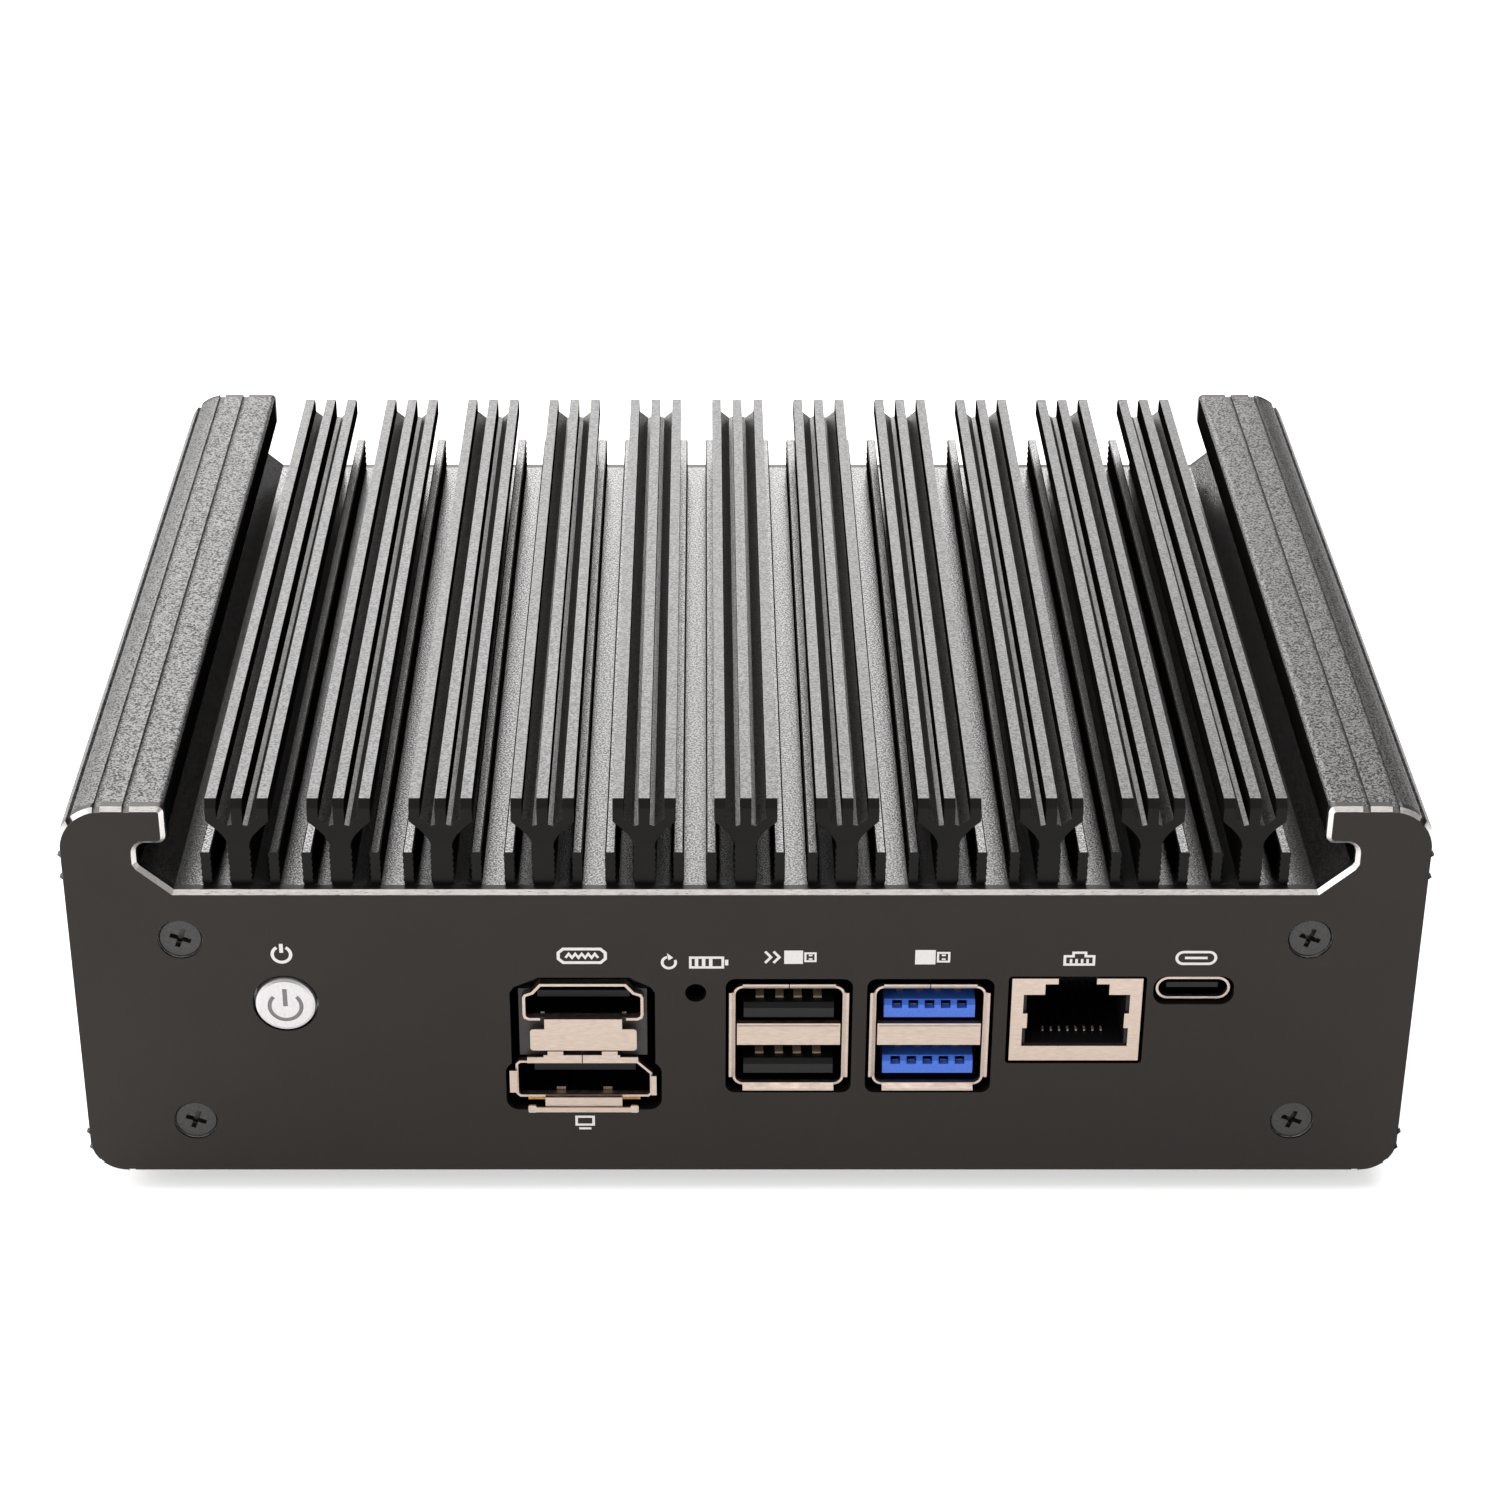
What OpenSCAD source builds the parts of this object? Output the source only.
// Fanless mini PC. A finned aluminium extrusion is the lid, the walls and the heatsink in one.
// Two end panels and a bottom cover close it. The board hangs under the roof, connectors down,
// so that its processor presses on the heatsink.
//
// Frame: X to the right, Y to the back, Z up. The origin is under the middle of the rubber feet.
// Inside placed(), y is counted back from the front panel's face and z up from its lower edge.

/* [Overall] */
// Width over the two side rails
body_w = 162; // [161:0.5:164]
// Depth from the front panel's face to the rear panel's face
body_d = 122; // [120:1:130]
// Height of the end panels
body_h = 52.25; // [52:0.25:54]
// Height of the rubber feet
foot_h = 2.75; // [2:0.25:4]

/* [End panels] */
// Thickness of each end panel
plate_t = 1.5; // [1.25:0.25:1.5]
// Distance of the panel screws from the middle
screw_x = 67.3; // [67:0.1:67.5]
// Height of the lower panel screws
screw_low_z = 7.9; // [7.5:0.1:8.5]
// Height of the upper panel screws
screw_high_z = 34.2; // [33.5:0.1:34.5]

/* [Heatsink] */
// Height of the roof's top face, between the fins
floor_z = 40.9; // [40.5:0.1:41]
// Thickness of the roof
roof_t = 4; // [3.5:0.25:4]
// Number of three-pronged fins
fin_n = 11; // [9:1:11]
// Distance between fins
fin_pitch = 11.94; // [11.5:0.01:12]
// Width of one prong
prong_w = 1.3; // [1:0.1:1.5]
// Distance between prongs
prong_pitch = 3.05; // [3:0.05:3.2]
// Height of the short side fins' tops
side_fin_z = 45.4; // [44:0.1:46]
// Depth of the ribs on the fin flanks
rib_d = 0.18; // [0.1:0.02:0.24]
// Width of the fine grooves along the rails
groove_w = 0.9; // [0.6:0.1:1]
// Depth of those grooves
groove_d = 0.6; // [0.4:0.1:0.8]

/* [Power button] */
// Diameter of the button cap
cap_d = 7.4; // [7:0.1:7.4]
// Gap between the cap and its hole
cap_gap = 0.275; // [0.2:0.025:0.3]
// How far the cap stands out of the panel
cap_proud = 0.3; // [0:0.1:0.5]

/* [Ports] */
// Underside of the main board, which the ports hang from
board_z = 28.7; // [28.7:0.1:29]
// Middle of the stacked video ports
video_x = -19.5; // [-19.6:0.1:-19.4]
// Middle of the black USB ports
usb2_x = 5.35; // [5.3:0.05:5.4]
// Middle of the blue USB ports
usb3_x = 22.35; // [22.3:0.05:22.4]
// Middle of the serial jack
com_x = 39.95; // [39.9:0.05:40]
// Middle of the small oval USB port
usbc_x = 53.9; // [53.8:0.1:54]
// Distance between the network jacks on the back
lan_pitch = 18; // [17:0.5:19]
// Bore of the power inlet on the back
inlet_bore_d = 6.3; // [6:0.1:6.5]

/* [Bottom cover] */
// Thickness of the bottom cover
cover_t = 2; // [1.5:0.25:2]
// Spacing of the four threaded mounting holes
hang_pitch = 75; // [75:25:75]
// Thread core diameter of those holes
hang_hole_d = 3.3; // [3.2:0.1:3.4]

/* [Hidden] */
$fn = 48;

half_w = body_w / 2;
roof_z = floor_z - roof_t;
shell_y0 = plate_t;
shell_y1 = body_d - plate_t;
fit = 0.05;                 // radial clearance of a screw in its thread, a stem in its bore
overlap = 0.5;              // how far a fin starts inside the roof

// Rails along the two sides
low_corner_r = 4.75;
top_corner_r = 5.75;
rail_in = half_w - 12.95;   // face of the rail's lip, towards the fins
hook_z = 47.3;              // underside of that lip
hook_top_r = 0.8;
hook_low_r = 1;
throat_r = 1.2;
throat_x = half_w - 9.3;    // wall below the lip
floor_x = half_w - 13.4;    // where the sloping wall meets the roof
arc_n = 12;

// Inside of the housing
boss_in = half_w - 18.5;    // inner face of the screw bosses
wall_in = half_w - 5;       // inner face of the side walls
cover_half = half_w - 6.5;
boss_low_top = screw_low_z + 4.7;
boss_high_low = screw_high_z - 4.8;

// M3 fasteners
m3_r = 1.45;
m3_head_r = 2.475;
m3_cone_h = 1.03;
m3_recess_r = 2.7;
m3_recess_d = 0.3;
m3_depth = 9;
cross_w = 0.62;
cross_l = 2.6;
cross_d = 1;
pan_r = 2.75;
pan_h = 1.8;

board_t = 1.6;
board_top = board_z + board_t;
board_half = boss_in - 0.5;
board_y0 = 5;
board_y1 = body_d - 5;
board_hole_x = board_half - 4;
board_hole_y = [24, body_d - 22];

button_x = -55.25;
button_z = 25.1;
cap_r = cap_d / 2;
switch_y = 6;
stem_r = 1.75;
reset_x = -5.9;
reset_z = 26.6;
reset_hole_r = 1.275;
plunger_r = 0.9;

// Colours
anodised = [0.16, 0.15, 0.15];
blasted = [0.12, 0.12, 0.12];
nickel = [0.83, 0.77, 0.72];
black_plastic = [0.05, 0.05, 0.05];
grey_plastic = [0.2, 0.19, 0.19];
blue_plastic = [0.15, 0.36, 0.8];
gold = [0.85, 0.65, 0.3];
board_green = [0.05, 0.25, 0.12];
copper = [0.72, 0.42, 0.28];
steel_black = [0.1, 0.1, 0.1];

// ---------------------------------------------------------------- helpers

// From panel coordinates to the part's frame
module placed() translate([0, -body_d / 2, foot_h]) children();

// A box between two opposite corners
module block(low, high) translate(low) cube(high - low);

// An outline drawn in X and Z, made solid from y0 back by depth
module slab(y0, depth) {
    translate([0, y0 + depth, 0]) rotate([90, 0, 0]) linear_extrude(depth) children();
}

// A round bar or a cone along Y
module rod_y(x, z, y0, y1, r0, r1) {
    translate([x, y0, z]) rotate([-90, 0, 0]) cylinder(h = y1 - y0, r1 = r0, r2 = r1);
}

// A rectangle with round corners
module round_rect(x0, z0, x1, z1, r) {
    translate([x0 + r, z0]) square([x1 - x0 - 2 * r, z1 - z0]);
    translate([x0, z0 + r]) square([x1 - x0, z1 - z0 - 2 * r]);
    for (x = [x0 + r, x1 - r], z = [z0 + r, z1 - r]) translate([x, z]) circle(r);
}

// Turns a port drawn at the front, in the middle, to face out of the back at x
module at_rear(x) translate([x, body_d, 0]) rotate([0, 0, 180]) children();

function arc(cx, cz, r, a0, a1, n) =
    [for (i = [0:n]) let (a = a0 + (a1 - a0) * i / n) [cx + r * cos(a), cz + r * sin(a)]];
function mirrored(p) = [for (i = [len(p) - 1:-1:0]) [-p[i][0], p[i][1]]];
function closed(half) = concat(half, mirrored(half));
function left_of(a, b) = let (d = b - a, l = norm(d)) [-d[1] / l, d[0] / l];

// The same outline, moved inwards by d; the outline runs anticlockwise
function inset(p, d) = let (n = len(p)) [for (i = [0:n - 1])
    let (
        before = left_of(p[(i + n - 1) % n], p[i]),
        after = left_of(p[i], p[(i + 1) % n])
    ) p[i] + d * (before + after) / (1 + before * after)];

// ---------------------------------------------------------------- the section of the housing

half_outline = concat(
    arc(half_w - low_corner_r, low_corner_r, low_corner_r, -90, 0, arc_n),
    arc(half_w - top_corner_r, body_h - top_corner_r, top_corner_r, 0, 90, arc_n),
    arc(rail_in + hook_top_r, body_h - hook_top_r, hook_top_r, 90, 180, arc_n / 2),
    arc(rail_in + hook_low_r, hook_z + hook_low_r, hook_low_r, 180, 270, arc_n / 2),
    arc(throat_x - throat_r, hook_z - throat_r, throat_r, 90, 0, arc_n / 2),
    [[throat_x, hook_z - 2.6], [throat_x - 0.3, hook_z - 3.1], [floor_x, floor_z]]
);
outline = closed(half_outline);

// Fine grooves along the right rail: x, z and the direction that they open in
grooves = [
    [half_w - 8.6, body_h, 90],
    [half_w - 5.15, body_h, 90],
    [half_w - top_corner_r * (1 - cos(45)), body_h - top_corner_r * (1 - sin(45)), 45],
    [half_w, body_h - 6.2, 0],
    [half_w, body_h - 9.25, 0],
    [half_w, 6.3, 0],
    [half_w - 0.07, 3.95, -10],
    [half_w - low_corner_r * (1 - cos(45)), low_corner_r * (1 - sin(45)), -45],
    [half_w - 5.25, 0, -90]
];

module groove_marks() {
    for (g = grooves, side = [1, -1]) {
        translate([side * g[0], g[1]])
            rotate(side > 0 ? g[2] : 180 - g[2])
                square([2 * groove_d, groove_w], center = true);
    }
}

// One flank of ribs: n shallow teeth up the face at x
function ribs(x, z0, n, pitch, d) =
    [for (i = [0:n - 1], k = [0, 1]) [x + k * d, z0 + (i + k / 2) * pitch]];

stem_half = 1.2;
fin_half = prong_pitch + prong_w / 2;
trident = closed(concat(
    [[stem_half, floor_z - overlap]],
    ribs(stem_half, floor_z + 0.2, 6, 0.8, rib_d),
    [
        [stem_half, floor_z + 5.2], [stem_half + 0.15, floor_z + 6], [stem_half + 0.6, floor_z + 6.8],
        [stem_half + 1.4, floor_z + 7.7], [fin_half, floor_z + 8.7], [fin_half, body_h],
        [fin_half - prong_w, body_h], [fin_half - prong_w, floor_z + 9.1],
        [stem_half, floor_z + 8.1], [prong_w / 2, floor_z + 8.25], [prong_w / 2, body_h]
    ]
));
side_fin_x = 4.02;
side_fin_half = 0.5;
side_fin = closed(concat(
    [[side_fin_half, floor_z - overlap]],
    ribs(side_fin_half, floor_z + 0.2, 5, 0.85, rib_d * 0.8),
    [[side_fin_half + 0.1, side_fin_z - 0.15], [side_fin_half - 0.05, side_fin_z]]
));

module fins() {
    for (i = [0:fin_n - 1]) translate([fin_pitch * (i - (fin_n - 1) / 2), 0]) {
        polygon(trident);
        for (side = [1, -1]) translate([side * side_fin_x, 0]) polygon(side_fin);
    }
}

module hollow() {
    translate([-wall_in, boss_low_top]) square([2 * wall_in, boss_high_low - boss_low_top]);
    translate([-boss_in, cover_t]) square([2 * boss_in, roof_z - cover_t]);
    translate([-cover_half, -1]) square([2 * cover_half, cover_t + 1]);
}

cover_screw_y = [18, body_d - 18];
block_screw = 18;
block_y = body_d / 2;

module heatsink_housing() color(blasted) placed() difference() {
    slab(shell_y0, shell_y1 - shell_y0) difference() {
        union() {
            polygon(outline);
            fins();
        }
        hollow();
        groove_marks();
    }
    // Milled chamfer along the ends of the prongs
    for (y = [shell_y0, shell_y1]) translate([0, y, body_h])
        rotate([45, 0, 0]) cube([2 * rail_in - 4, 1.25, 1.25], center = true);
    // Threads for the panel screws, at both ends
    for (x = [-screw_x, screw_x], z = [screw_low_z, screw_high_z], y = [shell_y0 - 1, shell_y1 - m3_depth])
        rod_y(x, z, y, y + m3_depth + 1, m3_r + fit, m3_r + fit);
    // Threads for the cover screws
    for (x = [-screw_x, screw_x], y = cover_screw_y)
        translate([x, y, cover_t - 1]) cylinder(h = 9, r = m3_r + fit);
    // Threads in the roof, for the standoffs and the heat block
    for (x = [-board_hole_x, board_hole_x], y = board_hole_y)
        translate([x, y, roof_z - 1]) cylinder(h = 3.6, r = m3_r + fit);
    for (x = [-block_screw, block_screw], y = [block_y - block_screw, block_y + block_screw])
        translate([x, y, roof_z - 1]) cylinder(h = 3.6, r = m3_r + fit);
}

// ---------------------------------------------------------------- end panels

// The housing's outline as a plate, with four countersunk holes and the rail grooves across its edge
module blank_plate() difference() {
    slab(0, plate_t) polygon(outline);
    slab(-1, plate_t + 2) groove_marks();
    for (x = [-screw_x, screw_x], z = [screw_low_z, screw_high_z]) {
        rod_y(x, z, -1, m3_recess_d, m3_recess_r, m3_recess_r);
        rod_y(x, z, m3_recess_d, m3_recess_d + 1.1, m3_recess_r, m3_recess_r - 1.1);
        rod_y(x, z, 0, plate_t + 1, m3_recess_r - 1.1, m3_recess_r - 1.1);
    }
}

module video_cutout() {
    polygon([
        [video_x - 5.3, 28.8], [video_x - 8.3, 27.4], [video_x - 8.8, 26.6], [video_x - 8.8, 15],
        [video_x + 8.7, 15], [video_x + 8.7, 26.6], [video_x + 8.2, 27.4], [video_x + 5.6, 28.8]
    ]);
    round_rect(video_x - 9.55, 9.55, video_x + 9.45, 16.6, 1.6);
}

module front_panel() color(anodised) placed() difference() {
    blank_plate();
    slab(-1, plate_t + 2) {
        translate([button_x, button_z]) circle(cap_r + cap_gap);
        translate([reset_x, reset_z]) circle(reset_hole_r);
        video_cutout();
        for (x = [usb2_x, usb3_x]) round_rect(x - 7.65, 12.1, x + 7.65, 28.6, 1.2);
        round_rect(com_x - 8.3, 16.4, com_x + 8.3, 28.95, 0.5);
        round_rect(usbc_x - 4.85, 24.95, usbc_x + 4.85, 28.95, 1.6);
    }
}

inlet_x = 50;
inlet_z = 22.6;
inlet_nose_r = 4.4;
lan_x = [for (i = [0:3]) -46 + lan_pitch * i];

module rear_panel() color(anodised) placed() difference() {
    translate([0, body_d, 0]) mirror([0, 1, 0]) blank_plate();
    slab(body_d - plate_t - 1, plate_t + 2) {
        for (x = lan_x) round_rect(x - 8.3, 16.4, x + 8.3, 28.95, 0.5);
        translate([inlet_x, inlet_z]) circle(inlet_nose_r + 0.2);
    }
}

// Countersunk M3 screw, its head at the front, in the middle
module countersunk_screw(length) difference() {
    union() {
        rod_y(0, 0, 0, 0.12, m3_head_r - 0.06, m3_head_r);
        rod_y(0, 0, 0.12, 0.12 + m3_cone_h, m3_head_r, m3_head_r - m3_cone_h);
        rod_y(0, 0, 0, length, m3_r, m3_r);
    }
    for (a = [0, 90]) rotate([0, a + 20, 0]) {
        block([-cross_l / 2, -1, -cross_w / 2], [cross_l / 2, cross_d * 0.6, cross_w / 2]);
        block([-cross_l / 3, -1, -cross_w / 2], [cross_l / 3, cross_d, cross_w / 2]);
    }
}

module panel_screws() {
    for (x = [-screw_x, screw_x], z = [screw_low_z, screw_high_z])
        translate([x, m3_recess_d, z]) countersunk_screw(m3_depth);
}

module front_panel_screws() color(steel_black) placed() panel_screws();

module rear_panel_screws() color(steel_black) placed()
    translate([0, body_d, 0]) mirror([0, 1, 0]) panel_screws();

// ---------------------------------------------------------------- bottom

cover_gap = 0.2;
foot_r = 5;
foot_x = 56;
foot_y = [12, body_d - 12];

module bottom_cover() color(anodised) placed() difference() {
    block([-cover_half + cover_gap, shell_y0, 0], [cover_half - cover_gap, shell_y1, cover_t]);
    for (x = [-screw_x, screw_x], y = cover_screw_y) translate([x, y, 0]) {
        translate([0, 0, -1]) cylinder(h = 1 + m3_recess_d, r = m3_recess_r);
        translate([0, 0, m3_recess_d]) cylinder(h = 1.1, r1 = m3_recess_r, r2 = m3_recess_r - 1.1);
        cylinder(h = cover_t + 1, r = m3_recess_r - 1.1);
    }
    for (x = [-hang_pitch / 2, hang_pitch / 2], y = [-hang_pitch / 2, hang_pitch / 2])
        translate([x, body_d / 2 + y, -1]) cylinder(h = cover_t + 2, d = hang_hole_d);
}

module bottom_cover_screws() color(steel_black) placed() {
    for (x = [-screw_x, screw_x], y = cover_screw_y)
        translate([x, y, m3_recess_d]) rotate([90, 0, 0]) countersunk_screw(8);
}

module rubber_feet() color("black") placed() {
    for (x = [-foot_x, foot_x], y = foot_y) translate([x, y, -foot_h]) {
        cylinder(h = 0.6, r1 = foot_r - 0.6, r2 = foot_r);
        translate([0, 0, 0.6]) cylinder(h = foot_h - 0.6, r = foot_r);
    }
}

// ---------------------------------------------------------------- buttons

module power_button_cap() color([0.8, 0.8, 0.82]) placed() {
    translate([button_x, -cap_proud, button_z]) rotate([-90, 0, 0]) rotate_extrude() polygon([
        [0, 0], [cap_r - 0.45, 0], [cap_r - 0.13, 0.13], [cap_r, 0.45], [cap_r, 2.1],
        [cap_r + 0.6, 2.1], [cap_r + 0.6, 2.9], [2.4, 2.9], [2.4, 3.9], [0, 3.9]
    ]);
}

module power_switch_stem() color("ivory") placed()
    rod_y(button_x, button_z, 3.9 - cap_proud, 8.5, stem_r, stem_r);

module power_switch_body() color(black_plastic) placed() difference() {
    block([button_x - 3.6, switch_y, button_z - 3.6], [button_x + 3.6, 12, board_z]);
    rod_y(button_x, button_z, switch_y - 1, 10, stem_r + fit, stem_r + fit);
}

module reset_switch_body() color(black_plastic) placed() difference() {
    block([reset_x - 2.4, switch_y, reset_z - 2.3], [reset_x + 2.4, 9.6, board_z]);
    rod_y(reset_x, reset_z, switch_y - 1, 8.4, plunger_r + fit, plunger_r + fit);
}

module reset_switch_plunger() color(black_plastic) placed() {
    rod_y(reset_x, reset_z, 4.6, 4.8, plunger_r - 0.15, plunger_r);
    rod_y(reset_x, reset_z, 4.8, 7.5, plunger_r, plunger_r);
}

// ---------------------------------------------------------------- board and what cools it

module motherboard() color(board_green) placed() difference() {
    block([-board_half, board_y0, board_z], [board_half, board_y1, board_top]);
    for (x = [-board_hole_x, board_hole_x], y = board_hole_y)
        translate([x, y, board_z - 1]) cylinder(h = board_t + 2, r = 1.7);
}

module board_standoffs() color("goldenrod") placed() {
    for (x = [-board_hole_x, board_hole_x], y = board_hole_y) translate([x, y, 0]) difference() {
        union() {
            translate([0, 0, board_top]) cylinder(h = roof_z - board_top, r = 2.9, $fn = 6);
            translate([0, 0, roof_z]) cylinder(h = 2.4, r = m3_r);
        }
        translate([0, 0, board_top - 1]) cylinder(h = 5.2, r = m3_r + fit);
    }
}

// A pan head screw that points up, its head's seat at z = 0
module pan_screw(length) difference() {
    union() {
        translate([0, 0, -pan_h]) cylinder(h = pan_h, r1 = pan_r - 0.5, r2 = pan_r);
        cylinder(h = length, r = m3_r);
    }
    for (a = [0, 90]) rotate(a)
        block([-cross_l / 2, -cross_w / 2, -pan_h - 1], [cross_l / 2, cross_w / 2, -pan_h + 1]);
}

module board_screws() color("silver") placed() {
    for (x = [-board_hole_x, board_hole_x], y = board_hole_y) translate([x, y, board_z]) pan_screw(5);
}

die_top = board_top + 1.6;
pad_t = 0.5;
block_top = roof_z - pad_t;
block_half = 23;

module processor() color(board_green) placed() {
    block([-12, block_y - 13, board_top], [12, block_y + 13, board_top + 1.1]);
    block([-5, block_y - 6, board_top + 1.1], [5, block_y + 6, die_top]);
}

module block_screw_places() {
    for (x = [-block_screw, block_screw], y = [block_y - block_screw, block_y + block_screw])
        translate([x, y, 0]) children();
}

module heat_block() color(copper) placed() difference() {
    block([-block_half, block_y - block_half, die_top], [block_half, block_y + block_half, block_top]);
    block_screw_places() {
        translate([0, 0, die_top - 1]) cylinder(h = 3.1, r = pan_r + 0.15);
        translate([0, 0, die_top]) cylinder(h = 10, r = 1.7);
    }
}

module heat_block_screws() color("silver") placed()
    block_screw_places() translate([0, 0, die_top + 2.1]) pan_screw(roof_z + 2.3 - die_top - 2.1);

module thermal_pad() color("lightgrey") placed() difference() {
    block([-block_half, block_y - block_half, block_top], [block_half, block_y + block_half, roof_z]);
    block_screw_places() translate([0, 0, block_top - 1]) cylinder(h = 3, r = 1.7);
}

module power_inductors() color("dimgrey") placed() {
    for (i = [0:3]) block([-44, 36 + 12 * i, board_top], [-36, 44 + 12 * i, board_top + 4]);
}

module power_capacitors() color("silver") placed() {
    for (i = [0:3]) translate([-30, 42 + 12 * i, board_top]) cylinder(h = 5.6, r = 3.15);
}

// ---------------------------------------------------------------- memory, drive and clock battery

memory_x = -12;
memory_y = 50;              // front of the slot
memory_half = 33.8;
memory_z = 24.6;
latch_t = 1;
latch_pivot_y = memory_y + 8.3;

module memory_slot() color(black_plastic) placed() difference() {
    block([memory_x - 36.5, memory_y, memory_z - 1.3], [memory_x + 36.5, memory_y + 7, board_z]);
    block([memory_x - memory_half - 0.1, memory_y + 3, memory_z - fit],
          [memory_x + memory_half + 0.1, memory_y + 8, memory_z + 1.2 + fit]);
}

module memory_module() color(board_green) placed() difference() {
    union() {
        block([memory_x - memory_half, memory_y + 3.5, memory_z],
              [memory_x + memory_half, memory_y + 33.5, memory_z + 1.2]);
        for (i = [0:3]) block([memory_x - 30.5 + 16 * i, memory_y + 12, memory_z - 1],
                              [memory_x - 17.5 + 16 * i, memory_y + 22, memory_z]);
    }
    for (side = [-1, 1]) translate([memory_x + side * memory_half, memory_y + 27, memory_z - 1])
        cylinder(h = 3, r = 1.9);
}

// Sprung arm beside the module; its hook holds the module's edge up
module memory_latch(side) {
    x = memory_x + side * (memory_half + 0.7 + latch_t / 2);
    translate([x, latch_pivot_y, memory_z - 0.6]) cylinder(h = board_z - memory_z, r = 0.8);
    block([x - latch_t / 2, latch_pivot_y, memory_z - 0.6],
          [x + latch_t / 2, memory_y + 32, memory_z + 2.4]);
    block([min(x, x - side * 2), memory_y + 22.5, memory_z - 0.8],
          [max(x, x - side * 2), memory_y + 24.5, memory_z - 0.15]);
}

module memory_latch_left() color(nickel) placed() memory_latch(-1);
module memory_latch_right() color(nickel) placed() memory_latch(1);

drive_x = 41;
drive_y = 20;
drive_z = 25.9;

module drive_slot() color(black_plastic) placed() difference() {
    block([drive_x - 11, drive_y, drive_z - 1.2], [drive_x + 11, drive_y + 7, board_z]);
    block([drive_x - 10.05, drive_y + 3, drive_z - fit],
          [drive_x + 10.05, drive_y + 8, drive_z + 0.8 + fit]);
}

module solid_state_drive() color("midnightblue") placed() difference() {
    union() {
        block([drive_x - 10, drive_y + 3.5, drive_z], [drive_x + 10, drive_y + 8, drive_z + 0.8]);
        block([drive_x - 11, drive_y + 8, drive_z], [drive_x + 11, drive_y + 83.5, drive_z + 0.8]);
        for (y = [18, 38, 58])
            block([drive_x - 7, drive_y + y, drive_z - 1.2], [drive_x + 7, drive_y + y + 14, drive_z]);
    }
    translate([drive_x, drive_y + 83.5, drive_z - 1]) cylinder(h = 3, r = 1.75);
}

module drive_standoff() color("goldenrod") placed()
    translate([drive_x, drive_y + 83.5, drive_z + 0.8]) difference() {
        cylinder(h = board_z - drive_z - 0.8, r = 2.6);
        translate([0, 0, -1]) cylinder(h = 2.5, r = 1 + fit);
    }

module drive_screw() color("silver") placed() translate([drive_x, drive_y + 83.5, drive_z]) {
    translate([0, 0, -0.8]) cylinder(h = 0.8, r = 2.5);
    cylinder(h = 2.2, r = 1);
}

battery_x = -41;
battery_y = 33;

module battery_holder() color(black_plastic) placed() translate([battery_x, battery_y, 0]) difference() {
    translate([0, 0, board_z - 5]) cylinder(h = 5, r = 11.5);
    translate([0, 0, board_z - 6]) cylinder(h = 4.6, r = 10.1);
}

module clock_battery() color("silver") placed()
    translate([battery_x, battery_y, board_z - 4.6]) cylinder(h = 3.2, r = 10);

// ---------------------------------------------------------------- video ports

hdmi_half = [[6.6, 22.5], [7.15, 22.8], [7.3, 23.3], [7.3, 25.8], [7.05, 26.25], [6.2, 26.55], [5.2, 27.74]];
hdmi_outer = closed(hdmi_half);
hdmi_wall = 0.35;
dp_outer = [
    [7.85, 11.2], [8.3, 11.65], [8.3, 14.7], [6.5, 16.5],
    [-7.9, 16.5], [-8.35, 16.05], [-8.35, 11.65], [-7.9, 11.2]
];
dp_wall = 0.3;
port_depth = 11;

module hdmi_shell() color(nickel) placed() translate([video_x, 0, 0]) difference() {
    union() {
        slab(0.2, port_depth) difference() {
            polygon(hdmi_outer);
            polygon(inset(hdmi_outer, hdmi_wall));
        }
        // Flap that is folded down over the housing
        slab(-0.1, 0.3) {
            translate([-4.7, 21.2]) square([9.4, 1.65]);
            round_rect(-6.45, 18.34, 6.45, 21.4, 0.4);
        }
    }
    // Slits beside the flap
    for (side = [-1, 1]) block([side * 4.95 - 0.25, -1, 22.2], [side * 4.95 + 0.25, 1.6, 23.1]);
}

module hdmi_insert() color(black_plastic) placed() translate([video_x, 0, 0]) {
    slab(8, port_depth - 7.8) polygon(inset(hdmi_outer, hdmi_wall + fit));
    block([-5.6, 2.6, 24.4], [5.6, 8, 25.3]);
}

module displayport_shell() color(nickel) placed() translate([video_x, 0, 0]) {
    difference() {
        union() {
            slab(0.4, port_depth) difference() {
                polygon(dp_outer);
                polygon(inset(dp_outer, dp_wall));
            }
            // Flange and its two tabs above the mouth
            slab(0.1, 0.3) {
                translate([-6.9, 16.35]) square([13.5, 0.85]);
                translate([-4.9, 16.9]) square([9.3, 0.6]);
                for (x = [-4.4, 2.2]) translate([x, 17.2]) square([1.9, 0.85]);
            }
        }
        // Seam where the folded sheet meets
        block([-0.26, -1, 16.1], [-0.14, 4, 17.6]);
    }
    // Flanges at the sides
    slab(0.1, 0.3) {
        translate([-9.1, 12]) square([0.9, 3.2]);
        translate([8.15, 11.6]) square([0.65, 2.8]);
    }
    // Lip folded down below the mouth, out over the panel
    slab(-0.1, 0.5) translate([-4.8, 9.8]) square([9.4, 1.6]);
    slab(-cap_proud, cap_proud - fit) {
        round_rect(-6.9, 9.35, 6.6, 10.05, 0.2);
        for (x = [-6.9, 5.6]) round_rect(x, 9.3, x + 1, 10.35, 0.2);
    }
    // Two springs that grip the plug
    for (x = [-2.9, 2.8]) slab(1.4, 1.8) translate([x - 0.55, 11.4]) square([1.1, 0.6]);
}

module displayport_tape() color("darkorange") placed() translate([video_x, 0, 0])
    block([-6.9, 0.5, 10.75], [6.8, 9, 11.15]);

module displayport_insert() color(black_plastic) placed() translate([video_x, 0, 0]) {
    slab(8, port_depth - 7.6) polygon(inset(dp_outer, dp_wall + fit));
    block([-6.2, 3, 13.4], [6.2, 8, 14.4]);
}

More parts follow.
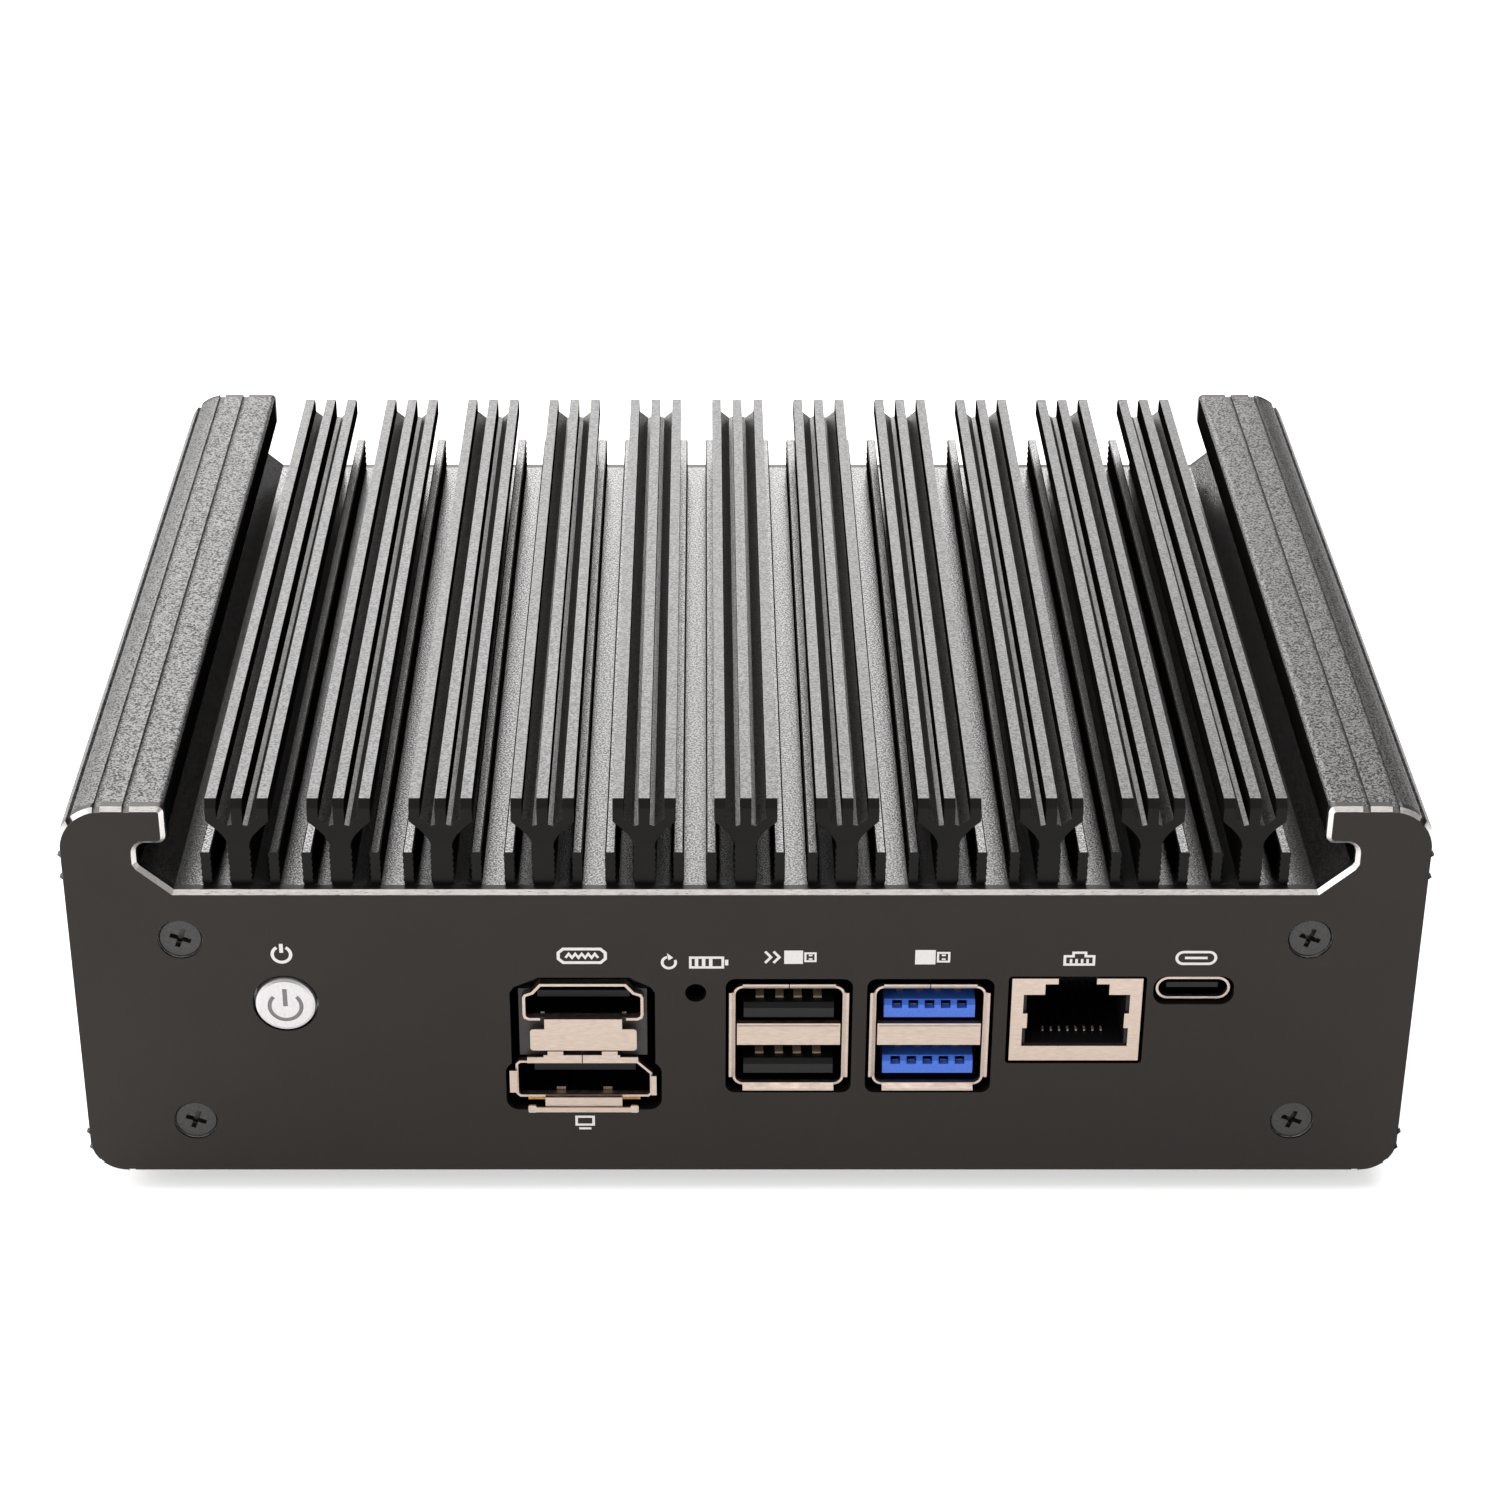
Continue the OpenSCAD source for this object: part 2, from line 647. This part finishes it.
module video_connector_housing() color(grey_plastic) placed() translate([video_x, 0, 0]) difference() {
    union() {
        block([-7.8, 1, 17], [7.7, 15, board_z]);
        block([-7.8, port_depth + 1, 10.6], [7.7, 15, 17]);
    }
    slab(0, port_depth + 0.25) polygon(inset(hdmi_outer, -fit));
    // Room above the mouth
    block([-8, 0, 26.6], [8, 2.2, 29]);
}

// ---------------------------------------------------------------- USB ports

usb_cavity_w = 12.95;
usb_wall = 0.3;
usb_top = 26.85;
usb_low = 13.1;
usb_depth = 16.2;
usb_y = 0.7;
usb_pitch = 8.15;
tongue_z = 22.4;
usb2_tongue_t = 1.9;
usb3_tongue_t = 2.35;
tongue_slope = [0.45, 0.6]; // back and down from the tongue's upper front edge
tongue_y = 1.1;
insert_y = 9.4;

// A strip of the shell's mouth, flared outwards: reach across, then out towards angle
module flare(x, z, angle, length, reach, y_front) {
    translate([x, 0, z]) rotate([0, angle, 0]) rotate([90, 0, 90])
        translate([0, 0, -length / 2]) linear_extrude(length) polygon([
            [usb_y + 0.05, 0], [y_front, reach], [y_front, reach + usb_wall], [usb_y + 0.05, usb_wall]
        ]);
}

module usb_shell(x) translate([x, 0, 0]) {
    half = usb_cavity_w / 2;
    difference() {
        union() {
            slab(usb_y, usb_depth) difference() {
                round_rect(-half - usb_wall, usb_low - usb_wall, half + usb_wall, usb_top + usb_wall, 1.3);
                round_rect(-half, usb_low, half, usb_top, 1);
            }
            flare(0, usb_top, 0, 11.2, 0.36, 0.45);
        }
        block([-0.06, -1, usb_top - 1], [0.06, 6, usb_top + 2]);
    }
    flare(half, 20.2, 90, 12.2, 0.45, 0.4);
    flare(-half, 20.2, -90, 12.2, 0.45, 0.4);
    flare(0, usb_low, 180, 11.1, 0.45, 0.05);
    // Legs soldered to the board
    for (side = [-1, 1], y = [4, 12])
        translate([side * (half + usb_wall / 2), 0, 0])
            block([-usb_wall / 2, y, usb_top - 2], [usb_wall / 2, y + 2.5, board_z]);
}

module usb_divider(x) translate([x, 0, 0]) difference() {
    block([-6.25, 0.6, 18.7], [6.25, insert_y, 21.8]);
    block([-7, 0.9, 19], [7, insert_y + 1, 21.5]);
    block([-6.1, 0.5, 21.4], [6.1, 0.68, 21.5]);
}

module usb_insert(x, tongue_w, t) translate([x, 0, 0]) {
    slab(insert_y, usb_depth + 0.5 - insert_y) round_rect(-6.4, usb_low + fit, 6.4, usb_top - fit, 1);
    for (k = [0, 1]) translate([-tongue_w / 2, 0, tongue_z - k * usb_pitch])
        rotate([90, 0, 90]) linear_extrude(tongue_w) polygon([
            [tongue_y, 0], [insert_y, 0], [insert_y, t], [tongue_y + tongue_slope[0], t],
            [tongue_y, t - tongue_slope[1]]
        ]);
}

usb2_contact_x = [-3.5, -1.1, 1.1, 3.5];

// Springs that lie on top of both tongues
module tongue_springs(x, y0, w, t) {
    for (k = [0, 1], c = usb2_contact_x) {
        z = tongue_z + t - k * usb_pitch;
        block([x + c - w / 2, y0, z], [x + c + w / 2, insert_y, z + 0.25]);
    }
}

module usb2_shell() color(nickel) placed() usb_shell(usb2_x);
module usb2_divider() color(nickel) placed() usb_divider(usb2_x);
module usb2_insert() color(black_plastic) placed() usb_insert(usb2_x, 10.9, usb2_tongue_t);
module usb2_contacts() color(gold) placed() tongue_springs(usb2_x, 2.5, 1, usb2_tongue_t);
module usb3_shell() color(nickel) placed() usb_shell(usb3_x);
module usb3_divider() color(nickel) placed() usb_divider(usb3_x);

window_w = 1.2;
window_pitch = 1.96;
window_z = 1.3;
window_depth = 4.5;

module usb3_windows() {
    for (k = [0, 1], i = [-2:2])
        translate([usb3_x + i * window_pitch, 0, tongue_z - k * usb_pitch]) children();
}

module usb3_insert() color(blue_plastic) placed() difference() {
    usb_insert(usb3_x, 11, usb3_tongue_t);
    usb3_windows()
        block([-window_w / 2, 0, window_z], [window_w / 2, tongue_y + window_depth, usb3_tongue_t - 0.12]);
}

module usb3_contacts() color(nickel) placed() {
    usb3_windows()
        block([-0.4, tongue_y + 0.7, window_z], [0.4, tongue_y + window_depth, window_z + 0.25]);
    tongue_springs(usb3_x, 3.4, 0.8, usb3_tongue_t);
}

// ---------------------------------------------------------------- small oval port

usbc_z = 26.9;
usbc_half_w = 4.46;
usbc_half_h = 1.55;
usbc_wall = 0.3;
usbc_y = 0.7;

module usb_c_oval(grow, r) {
    round_rect(usbc_x - usbc_half_w - grow, usbc_z - usbc_half_h - grow,
               usbc_x + usbc_half_w + grow, usbc_z + usbc_half_h + grow, r);
}

module usb_c_shell() color(nickel) placed() {
    slab(usbc_y, 7.5) difference() {
        usb_c_oval(0, usbc_half_h - 0.01);
        usb_c_oval(-usbc_wall, usbc_half_h - usbc_wall - 0.01);
    }
    for (x = [usbc_x - 2.4, usbc_x + 2.4]) block([x - 0.4, 4, 28.2], [x + 0.4, 6, board_z]);
}

module usb_c_insert() color(black_plastic) placed() {
    slab(6, 2.2) usb_c_oval(-usbc_wall - fit, usbc_half_h - usbc_wall - fit - 0.01);
    block([usbc_x - 3.1, usbc_y + 0.7, usbc_z - 0.35], [usbc_x + 3.1, 6, usbc_z + 0.35]);
}

// ---------------------------------------------------------------- eight-pole jacks

jack_half = 7.85;
jack_low = 16.8;
jack_high = 28.6;
jack_y = 0.05;
jack_depth = 15.5;
jack_wall = 0.3;
jack_cavity_y = 11.5;

// Mouth of the jack: plug body, latch step and latch notch
module jack_mouth(side, low, top) {
    translate([-side, low]) square([2 * side, 26.3 - low]);
    translate([-3.85, 26]) square([7.7, 1.8]);
    translate([-2.3, 27]) square([4.6, top - 27]);
}

module jack_shield(lights) difference() {
    block([-jack_half, jack_y, jack_low], [jack_half, jack_depth, jack_high]);
    block([-jack_half + jack_wall, jack_y + jack_wall, jack_low + jack_wall],
          [jack_half - jack_wall, jack_depth + 1, jack_high - jack_wall]);
    slab(-1, 2) difference() {
        jack_mouth(6.4, 18.9, 29);
        for (side = [-1, 1]) translate([side * 6.4 - 0.55, 21.5]) square([1.1, 2.1]);
    }
    if (lights) slab(-1, 2)
        for (side = [-1, 1]) translate([side * 5.8 - 1.3, 26.75]) square([2.6, 1.2]);
}

module jack_insert(lights) difference() {
    block([-jack_half + jack_wall + fit, jack_y + jack_wall + fit, jack_low + jack_wall + fit],
          [jack_half - jack_wall - fit, jack_depth, jack_high - jack_wall - fit]);
    slab(0, jack_cavity_y) jack_mouth(6, 19.1, 29);
    if (lights) slab(0, 7)
        for (side = [-1, 1]) translate([side * 5.8 - 1.3, 26.75]) square([2.6, 1.2]);
}

// Eight spring wires that rise towards the back of the cavity
module jack_contacts() {
    for (i = [-3.5:3.5]) translate([i * 1.02, 3, 19.25]) {
        rotate([-90 + 10, 0, 0]) cylinder(h = 9, r = 0.15);
        sphere(r = 0.16);
    }
}

module com_jack_shield() color(nickel) placed() translate([com_x, 0, 0]) jack_shield(false);
module com_jack_insert() color(black_plastic) placed() translate([com_x, 0, 0]) jack_insert(false);
module com_jack_contacts() color(gold) placed() translate([com_x, 0, 0]) jack_contacts();
module lan_jack_shields() color(nickel) placed() for (x = lan_x) at_rear(x) jack_shield(true);
module lan_jack_inserts() color(black_plastic) placed() for (x = lan_x) at_rear(x) jack_insert(true);
module lan_jack_contacts() color(gold) placed() for (x = lan_x) at_rear(x) jack_contacts();

module lan_jack_lights() color("palegreen") placed() for (x = lan_x) at_rear(x)
    for (side = [-1, 1]) block([side * 5.8 - 1.25, 0.1, 26.8], [side * 5.8 + 1.25, 6.9, 27.9]);

// ---------------------------------------------------------------- power inlet

module power_inlet_body() color(black_plastic) placed() at_rear(inlet_x) difference() {
    union() {
        rod_y(0, inlet_z, -cap_proud, plate_t + 0.1, inlet_nose_r, inlet_nose_r);
        block([-4.6, plate_t + 0.1, 17.6], [4.6, 14, board_z]);
    }
    rod_y(0, inlet_z, -1, 10, inlet_bore_d / 2, inlet_bore_d / 2);
    rod_y(0, inlet_z, 9, 15, 1.2, 1.2);
}

module power_inlet_pin() color("silver") placed() at_rear(inlet_x) {
    rod_y(0, inlet_z, 1.2, 1.6, 0.9, 1.2);
    rod_y(0, inlet_z, 1.6, 14, 1.2, 1.2);
}

// ---------------------------------------------------------------- the nodes

heatsink_housing();
front_panel();
rear_panel();
bottom_cover();
rubber_feet();
front_panel_screws();
rear_panel_screws();
bottom_cover_screws();
power_button_cap();
power_switch_stem();
power_switch_body();
reset_switch_body();
reset_switch_plunger();
motherboard();
board_standoffs();
board_screws();
processor();
heat_block();
heat_block_screws();
thermal_pad();
power_inductors();
power_capacitors();
memory_slot();
memory_latch_left();
memory_latch_right();
memory_module();
drive_slot();
solid_state_drive();
drive_standoff();
drive_screw();
battery_holder();
clock_battery();
hdmi_shell();
hdmi_insert();
displayport_shell();
displayport_insert();
displayport_tape();
video_connector_housing();
usb2_shell();
usb2_divider();
usb2_insert();
usb2_contacts();
usb3_shell();
usb3_divider();
usb3_insert();
usb3_contacts();
usb_c_shell();
usb_c_insert();
com_jack_shield();
com_jack_insert();
com_jack_contacts();
lan_jack_shields();
lan_jack_inserts();
lan_jack_contacts();
lan_jack_lights();
power_inlet_body();
power_inlet_pin();
